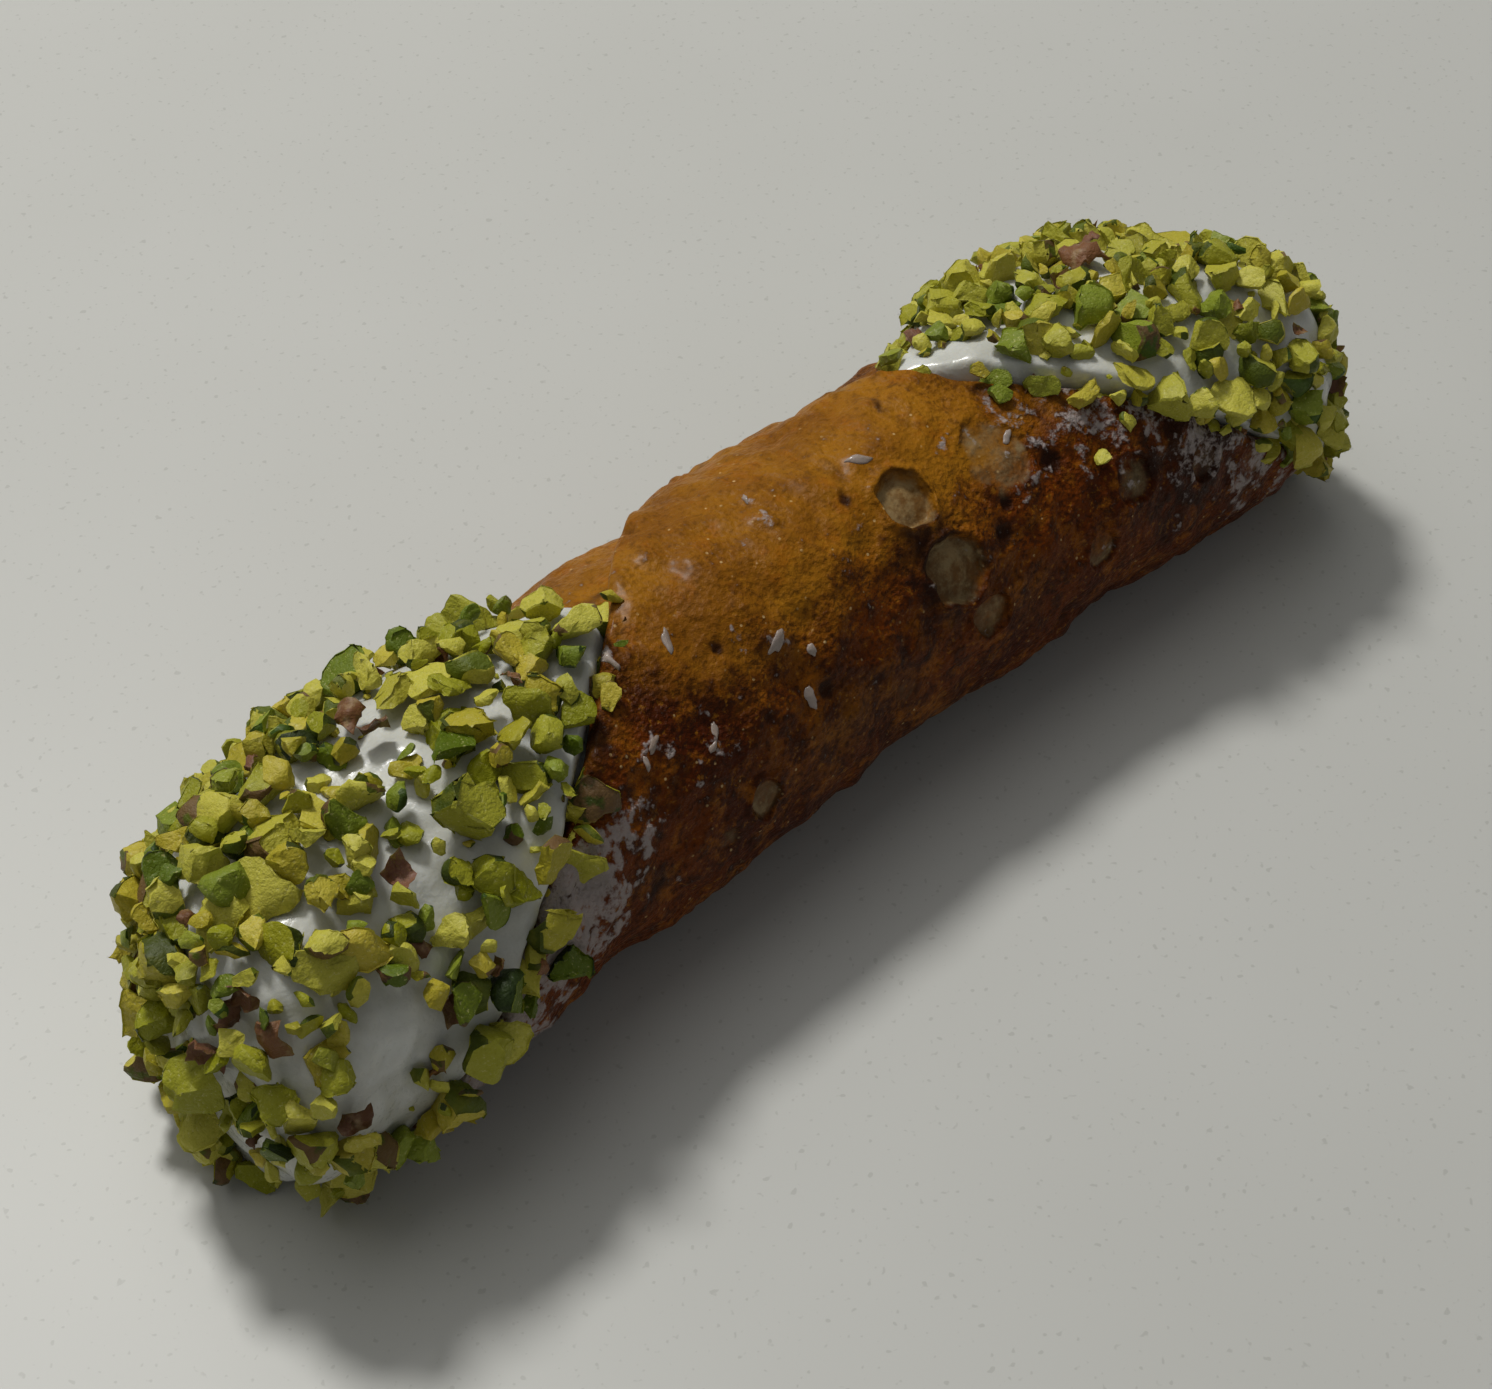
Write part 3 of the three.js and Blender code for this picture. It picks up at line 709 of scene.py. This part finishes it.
namedPieces = [  # kind, x, angle, length, lift
    ("green", -43.0, 172, 4.6, 0.5), ("flake", 32.0, 107, 4.4, 0.4), ("kernel", 34.7, 137, 1.9, 0.3),
    ("kernel", 41.5, 134, 3.4, 0.6), ("kernel", 39.6, 131, 2.4, 0.5), ("kernel", 49.6, 146, 2.6, 0.6),
    ("flake", 51.0, 74, 5.6, 1.4), ("kernel", -46.0, 117, 7.2, 2.0), ("green", -42.0, 47, 5.6, 1.4),
    ("flake", -46.4, 69, 4.2, 2.2), ("green", -70.9, 24, 6.0, 1.4), ("green", -74.0, 262, 6.0, 1.2),
    ("flake", -72.7, 132, 4.8, 1.8), ("flake", -70.0, 134, 3.8, 1.6), ("flake", -54.3, 117, 3.6, 2.0),
    ("flake", -68.1, 168, 3.6, 1.4), ("flake", -73.1, 181, 3.6, 1.2), ("kernel", -52.6, 176, 4.8, 1.4),
    ("kernel", -55.0, 186, 4.4, 1.2), ("kernel", -48.4, 166, 5.0, 1.3), ("kernel", -46.4, 161, 4.4, 1.3),
    ("kernel", -60.5, 198, 4.6, 1.2), ("kernel", -57.6, 200, 2.8, 1.0), ("kernel", -62.5, 205, 3.6, 1.0),
    ("kernel", 37.4, 122, 3.6, 0.7), ("kernel", 45.0, 138, 3.8, 0.7), ("kernel", 53.0, 150, 3.0, 0.7),
    ("green", 29.0, 99, 2.6, 0.7), ("kernel", 34.2, 113, 2.8, 0.7), ("kernel", -36.4, 132, 4.4, 0.8),
    ("kernel", -33.6, 126, 3.8, 0.8), ("kernel", -38.8, 139, 4.6, 0.8), ("green", -27.0, 103, 3.4, 0.8),
]


def nutMaterial(name, values):
    # Chopped raw pistachio: waxy pale yellow-green inside, greener under the thin papery skin
    material, tree, shader = newMaterial(name, {
        "IOR": 1.46, "Specular IOR Level": 0.3, "Coat Weight": 0.05, "Coat Roughness": 0.35,
        "Subsurface Weight": 0.12, "Subsurface Radius": (0.8, 1.0, 0.15), "Subsurface Scale": 0.0008,
    })
    tones = {key: linear(value) for key, value in values.items() if isinstance(value, str)}
    place = addNode(tree, "place")
    tint = addNode(tree, "tint")
    skin = addNode(tree, "red", tint)
    tone = addNode(tree, "green", tint)
    variety = addNode(tree, "blue", tint)
    cloud = addNode(tree, "noise", place, perSize(1.6), 3.0)
    grain = addNode(tree, "noise", place, perSize(0.35), 2.0, 0.6)
    flesh = addNode(tree, "mix", addNode(tree, "step", tone, 0.1, 0.95), tones["pale"], tones["mid"])
    flesh = addNode(tree, "mix", addNode(tree, "step", variety, 0.5, 1.0, 0.7), flesh, tones["yellow"])
    flesh = addNode(tree, "mix", addNode(tree, "step", grain, 0.5, 0.75, 0.35), flesh, tones["mid"])
    # Pale specks from the fine grain: chalky dust, partly painted highlights
    flesh = addNode(tree, "mix", addNode(tree, "step", grain, 0.28, 0.4, 0.0, 0.4), flesh, tones["dustAndHighlight"])
    outer = addNode(tree, "mix", addNode(tree, "step", tone, 0.2, 0.9), tones["skin"], tones["darkSkin"])
    outer = addNode(tree, "mix", addNode(tree, "step", cloud, 0.5, 0.7, 0.5), outer, tones["patch"])
    papery = addNode(tree, "multiply", addNode(tree, "papery"), addNode(tree, "step", cloud, 0.36, 0.5, 0.9))
    outer = addNode(tree, "mix", papery, outer, tones["papery"])
    ragged = addNode(tree, "multiply", addNode(tree, "subtract", cloud, 0.5), 0.9)
    edge = addNode(tree, "add", skin, ragged)
    edge = addNode(tree, "step", edge, values["from"], values["to"], values["most"])
    tree.links.new(addNode(tree, "mix", edge, flesh, outer), shader.inputs["Base Color"])
    tree.links.new(addNode(tree, "step", grain, 0.3, 0.7, 0.62, 0.44), shader.inputs["Roughness"])
    height = addNode(tree, "multiply", cloud, 0.6)
    height = addNode(tree, "add", height, addNode(tree, "multiply", grain, 0.45))
    tree.links.new(addNode(tree, "bump", height, 1.0, 0.36 * mm), shader.inputs["Normal"])
    return material


# Turns a chip so that it lies flat and long, and makes its length 1
def layFlat(bm):
    points = readVerts(bm)
    middle = (points.min(axis=0) + points.max(axis=0)) / 2
    points = points - middle
    axes = np.linalg.eigh(points.T @ points)[1][:, ::-1]
    if np.linalg.det(axes) < 0:
        axes[:, 2] *= -1
    points = points @ axes
    points = points - (points.min(axis=0) + points.max(axis=0)) / 2
    writeVerts(bm, points / np.ptp(points[:, 0]))


# One chopped piece: part of a rounded kernel cut by planes into a chunk, slab or sliver, edges a little
# soft. Cut faces are bare flesh, what is left of the kernel's outside keeps its skin.
def chipMesh(seed, cuts, rough):
    bm = bmesh.new()
    bmesh.ops.create_icosphere(bm, subdivisions=2 if rough else 1, radius=1.0)
    kind = seed.random()
    slab = kind < 0.3
    narrow = seed.uniform(0.5, 0.65) if kind > 0.8 else seed.uniform(0.75, 0.98)
    bmesh.ops.scale(bm, vec=(1.0, narrow, narrow * seed.uniform(0.75, 1.0)), verts=bm.verts)
    cutLayer = bm.faces.layers.int.new("cut")
    for k in range(cuts):
        direction = Vector((seed.gauss(0, 1), seed.gauss(0, 1), seed.gauss(0, 1))).normalized()
        offset = seed.uniform(0.28, 0.62) * (0.75 if kind > 0.8 else 1)
        if k < 2 and slab:
            direction = Vector((seed.uniform(-0.3, 0.3), seed.uniform(-0.3, 0.3), (1, -1)[k])).normalized()
            offset = seed.uniform(0.12, 0.3)
        cut = bmesh.ops.bisect_plane(
            bm, geom=bm.verts[:] + bm.edges[:] + bm.faces[:], plane_co=direction * offset, plane_no=direction,
            clear_outer=True)["geom_cut"]
        edges = [item for item in cut if isinstance(item, bmesh.types.BMEdge)]
        if len(edges) < 3:
            continue
        made = bmesh.ops.contextual_create(bm, geom=edges)["faces"]
        poked = bmesh.ops.poke(bm, faces=made)
        for vert in poked["verts"]:
            vert.co += direction * seed.uniform(-0.05, 0.05)
        for face in poked["faces"]:
            face[cutLayer] = 1
    bmesh.ops.dissolve_degenerate(bm, dist=0.05, edges=bm.edges)
    if rough:
        long = [edge for edge in bm.edges if edge.calc_length() > 0.52]
        bmesh.ops.subdivide_edges(bm, edges=long, cuts=1)
        bmesh.ops.triangulate(bm, faces=[face for face in bm.faces if len(face.verts) > 4])
    bmesh.ops.smooth_vert(bm, verts=bm.verts, factor=0.35, use_axis_x=True, use_axis_y=True, use_axis_z=True)
    shift = Vector((seed.uniform(0, 90), seed.uniform(0, 90), 0))
    for vert in bm.verts:
        broad = noise.noise_vector(vert.co * 1.9 + shift) * nuts["rough"][0]
        vert.co += broad + noise.noise_vector(vert.co * 5.5 + shift) * nuts["rough"][1]
    layFlat(bm)
    if rough:
        sharp = [edge for edge in bm.edges if len(edge.link_faces) == 2 and edge.calc_face_angle(0) > 0.7]
        bmesh.ops.bevel(
            bm, geom=sharp, offset=0.04, segments=1, affect="EDGES", profile=0.5, material=-1,
            clamp_overlap=True)
    bmesh.ops.recalc_face_normals(bm, faces=bm.faces)
    tint = bm.loops.layers.float_color.new("tint")
    cutLayer = bm.faces.layers.int["cut"]
    inner = seed.random() < 0.35
    for face in bm.faces:
        for loop in face.loops:
            loop[tint] = (0.0 if face[cutLayer] or inner else 1.0, 0.0, 0.0, 1.0)
    bm.faces.layers.int.remove(cutLayer)
    mesh = bpy.data.meshes.new("chip")
    bm.to_mesh(mesh)
    bm.free()
    return mesh


# A torn bit of papery skin, curled and creased
def flakeMesh(seed):
    bm = bmesh.new()
    bmesh.ops.create_grid(bm, x_segments=9, y_segments=6, size=1.0)
    for k in range(5):
        across = math.cos(k * 1.4 + seed.uniform(0, 1))
        direction = Vector((across, math.sin(k * 1.4 + seed.uniform(0, 1)), 0))
        bmesh.ops.bisect_plane(
            bm, geom=bm.verts[:] + bm.edges[:] + bm.faces[:], plane_co=direction * seed.uniform(0.55, 0.9),
            plane_no=direction, clear_outer=True)
    shift = seed.uniform(0, 40)
    curl = seed.uniform(0.35, 0.8)
    for vert in bm.verts:
        x, y = vert.co.x, vert.co.y * 0.65
        bend = curl * (y ** 2 * 1.6 + 0.35 * x ** 2)
        rough = noise.noise(Vector((x * 1.4 + shift, y * 1.4, 0)))
        crease = noise.noise(Vector((x * 3.4 + shift, y * 3.4, 4)))
        vert.co = Vector((x + 0.2 * rough, y + 0.12 * crease, bend + 0.35 * rough + 0.2 * crease))
    bmesh.ops.solidify(bm, geom=bm.faces[:], thickness=0.09)
    bmesh.ops.recalc_face_normals(bm, faces=bm.faces)
    layFlat(bm)
    tint = bm.loops.layers.float_color.new("tint")
    for face in bm.faces:
        for loop in face.loops:
            loop[tint] = (1.0, 0.0, 0.0, 1.0)
    mesh = bpy.data.meshes.new("flake")
    bm.to_mesh(mesh)
    bm.free()
    return mesh


# Copies a piece to its place, turned at random, and gives its faces their tint
def addChip(bm, proto, point, normal, length, seed, tilt, tone):
    chip = bmesh.new()
    chip.from_mesh(proto)
    stretch = (seed.uniform(0.85, 1.15), seed.uniform(0.85, 1.2))
    lean = Matrix.Rotation(seed.gauss(0, tilt), 4, "X") @ Matrix.Rotation(seed.gauss(0, tilt), 4, "Y")
    spin = Matrix.Rotation(seed.uniform(0, turn), 4, "Z")
    flip = Matrix.Rotation(math.pi * seed.randint(0, 1), 4, "X")
    size = Matrix.Diagonal((length, length * stretch[0], length * stretch[1], 1))
    place = Matrix.Translation(point) @ Vector(normal).to_track_quat("Z", "Y").to_matrix().to_4x4()
    bmesh.ops.transform(chip, matrix=place @ spin @ lean @ flip @ size, verts=chip.verts)
    lowest = min(vert.co.z for vert in chip.verts)
    if lowest < nuts["offFloor"]:
        bmesh.ops.translate(chip, vec=(0, 0, nuts["offFloor"] - lowest), verts=chip.verts)
    layer = chip.loops.layers.float_color["tint"]
    variety = seed.random()
    brown = 1.0 if seed.random() < nuts["brown"] else 0.0
    for face in chip.faces:
        for loop in face.loops:
            loop[layer] = (loop[layer][0], tone, variety, brown)
    carrier = bpy.data.meshes.new("carrier")
    chip.to_mesh(carrier)
    chip.free()
    bm.from_mesh(carrier)
    bpy.data.meshes.remove(carrier)


# Picks a piece to copy by its kind and size
def addPiece(stock, kind, point, normal, length, tilt):
    seed = stock["seed"]
    protos = stock["bits"] if length < nuts["small"] else stock["kernels"]
    if kind == "flake":
        protos = stock["flakes"]
    proto = seed.choice(protos)
    tone = seed.random() * (1.0 if point[0] < 0 else 0.7)
    addChip(stock["models"][kind], proto, point, normal, length, seed, tilt, tone)


# The cream's faces past the lips, and how far each lies outside the nearest bare patch
def openFaces(piece):
    mesh = piece.data
    mesh.calc_loop_triangles()
    corners = np.array([v.co[:] for v in mesh.vertices]) / mm
    p = corners[np.array([t.vertices[:] for t in mesh.loop_triangles])]
    cross = np.cross(p[:, 1] - p[:, 0], p[:, 2] - p[:, 0])
    area = np.linalg.norm(cross, axis=1) / 2
    centre = p.mean(axis=1)
    shown = (pastLip(centre) > nuts["lipGap"]) & (area > 0) & (centre[:, 2] > nuts["lowest"])
    centre = centre[shown]
    area = area[shown]
    normal = cross[shown] / (2 * area)[:, None]
    angle = np.arctan2(centre[:, 2] - roll["axis"], centre[:, 1])
    bare = np.full(len(centre), 99.0)
    for x, degrees, radius in barePatches:
        across = angleGap(angle, math.radians(degrees)) * cream["radius"]
        bare = np.minimum(bare, np.hypot(centre[:, 0] - x, across) - radius)
    return {"centre": centre, "normal": normal, "area": area, "angle": angle, "bare": bare}


# Special pieces by place, on the cream or on the dough near it
def placeNamed(stock, faces):
    placed = []
    for kind, x, degrees, length, lift in namedPieces:
        spot = math.radians(degrees)
        gap = np.hypot(faces["centre"][:, 0] - x, angleGap(faces["angle"], spot) * 17)
        nearest = int(np.argmin(gap))
        if gap[nearest] < nuts["nearCream"]:
            point = faces["centre"][nearest]
            normal = faces["normal"][nearest]
        else:
            around, along = onFlap(x, degrees)
            point = rolledPoint(np.array([around]), np.array([along]), np.array([roll["thickness"] / 2]))[0]
            normal = np.array([0, math.cos(spot), math.sin(spot)])
        addPiece(stock, kind, point + normal * lift, normal, length, nuts["namedTilt"])
        placed.append((point, length, lift))
    return placed


# How high a piece lies: sunk in a little, or up on those it overlaps, and None where it is too close
def liftOver(points, sizes, lifts, point, length):
    lift = nuts["sink"] * length
    distance = np.linalg.norm(np.array(points) - point, axis=1)
    both = np.array(sizes) + length
    if (distance < nuts["spread"] * both / 2).any():
        return None
    over = 1 - distance / (0.46 * both)
    rise = np.array(lifts) + nuts["rise"] * both * np.clip(over * 1.7, 0, 1)
    close = over > 0.12
    if close.any():
        lift = max(lift, rise[close].max())
    return lift


# The rest of one end: the largest first, smaller ones between them and riding up on them
def scatterChips(stock, faces, chance, placed, side, generator):
    seed = stock["seed"]
    mine = np.where(faces["centre"][:, 0] * side > 0)[0]
    odds = chance[mine] / chance[mine].sum()
    picks = generator.choice(mine, size=nuts["tries"], p=odds)
    here = [item for item in placed if item[0][0] * side > 0]
    points, sizes, lifts = (list(column) for column in zip(*here))
    largest, smallest = nuts["lengths"]
    count = 0
    for index, pick in enumerate(picks):
        if count >= nuts["perEnd"]:
            break
        share = max(count / nuts["perEnd"], math.sqrt(index / nuts["tries"]))
        length = largest + (smallest - largest) * share ** 0.6
        length *= seed.uniform(0.85, 1.15) * (nuts["farSize"] if side > 0 else 1)
        point = faces["centre"][pick]
        normal = faces["normal"][pick]
        if faces["bare"][pick] < 0.1 * length:
            continue
        lift = liftOver(points, sizes, lifts, point, length)
        if lift is None or lift > nuts["mostLift"][side > 0]:
            continue
        draw = seed.random()
        kind = "kernel"
        if draw < nuts["green"]:
            kind = "green"
        elif draw < nuts["green"] + nuts["flakes"]:
            kind = "flake"
        size = length * (nuts["flakeSize"] if kind == "flake" else 1)
        addPiece(stock, kind, point + normal * lift, normal, size, nuts["tilt"])
        points.append(point)
        sizes.append(length)
        lifts.append(lift)
        count += 1
    print("side", side, "chips", count)


def makeNuts(creamPiece):
    seed = random.Random(77)
    faces = openFaces(creamPiece)
    stock = {"seed": seed, "models": {kind: bmesh.new() for kind in nutPieces}}
    stock["kernels"] = [chipMesh(seed, seed.randint(6, 9), True) for k in range(nuts["prototypes"])]
    stock["bits"] = [chipMesh(seed, 9, False) for k in range(nuts["bits"])]
    stock["flakes"] = [flakeMesh(seed) for k in range(nuts["flakeModels"])]
    placed = placeNamed(stock, faces)
    chance = faces["area"] / faces["area"].sum()
    generator = np.random.default_rng(5)
    for side in (-1, 1):
        scatterChips(stock, faces, chance, placed, side, generator)
    for pick in generator.choice(len(chance), size=nuts["crumbs"], p=chance):
        if faces["bare"][pick] < -1.0:
            continue
        length = seed.uniform(*nuts["crumbLengths"])
        normal = faces["normal"][pick]
        point = faces["centre"][pick] + normal * nuts["crumbLift"] * length
        addPiece(stock, "crumb", point, normal, length, nuts["crumbTilt"])
    for kind, (name, look, tones, sharpAngle) in nutPieces.items():
        material = nutMaterial(look, tones)
        finishPiece(stock["models"][kind], name, material, "filling", sharpAngle)


# Dabs of cream on the pastry
creamDabs = [  # x, angle, length, width, direction, height
    (-18.8, 106, 2.2, 0.8, 60, 0.2), (-9.4, 125, 2.4, 1.2, 30, 0.2), (-6.4, 133, 1.4, 0.8, 100, 0.2),
    (-8.5, 147, 2.2, 1.1, 80, 0.2), (10.2, 93, 2.6, 0.8, 150, 0.25), (-1.5, 82, 1.2, 0.5, 60, 0.2),
    (-24.6, 99, 3.4, 0.8, 100, 0.3), (-26.0, 129, 2.0, 0.7, 30, 0.2), (-27.6, 133, 1.4, 0.6, 80, 0.2),
    (26.6, 112, 1.6, 0.8, 30, 0.2), (-19.4, 137, 1.8, 0.7, 60, 0.2), (-20.6, 141, 1.2, 0.6, 20, 0.2),
]


def makeDabs(material, shellPiece):
    seed = random.Random(9)
    corners = [vert.co / mm for vert in shellPiece.data.vertices]
    surface = BVHTree.FromPolygons(corners, [face.vertices[:] for face in shellPiece.data.polygons])
    bm = bmesh.new()
    for x, degrees, length, width, direction, height in creamDabs:
        made = bmesh.ops.create_icosphere(bm, subdivisions=3, radius=1.0)["verts"]
        shift = Vector((seed.uniform(0, 50), 0, 0))
        bowed = seed.uniform(-0.35, 0.35)
        c, s = math.cos(math.radians(direction)), math.sin(math.radians(direction))
        for vert in made:
            flat = Vector((vert.co.x, vert.co.y, 0))
            lobes = 1 + 0.5 * noise.noise(flat * 1.3 + shift)
            p = vert.co.x * lobes * length / 2
            q = (vert.co.y * lobes + bowed * vert.co.x ** 2) * width / 2
            angle = math.radians(degrees) - (p * s + q * c) / roll["radius"]
            out = Vector((0, math.cos(angle), math.sin(angle)))
            start = Vector((x + p * c - q * s, 0, roll["axis"])) + out * 40
            hit = surface.ray_cast(start, -out)[0]
            vert.co = hit + out * height * (vert.co.z if vert.co.z > 0 else 0.4 * vert.co.z)
    return finishPiece(bm, "creamDabs", material, "filling")


makeCamera()
makeLights()
makeFloor()
print("stage made")
shellPiece = makeShell()
print("shell made")
creamLook = creamMaterial("ricottaCream", "#d6d7d1", "#c9c9c0")
creamPiece = makeCream(creamLook)
print("cream made")
makeNuts(creamPiece)
print("nuts made")
makeDabs(creamMaterial("thinCream", "#a5968c", "#8c7a6c"), shellPiece)
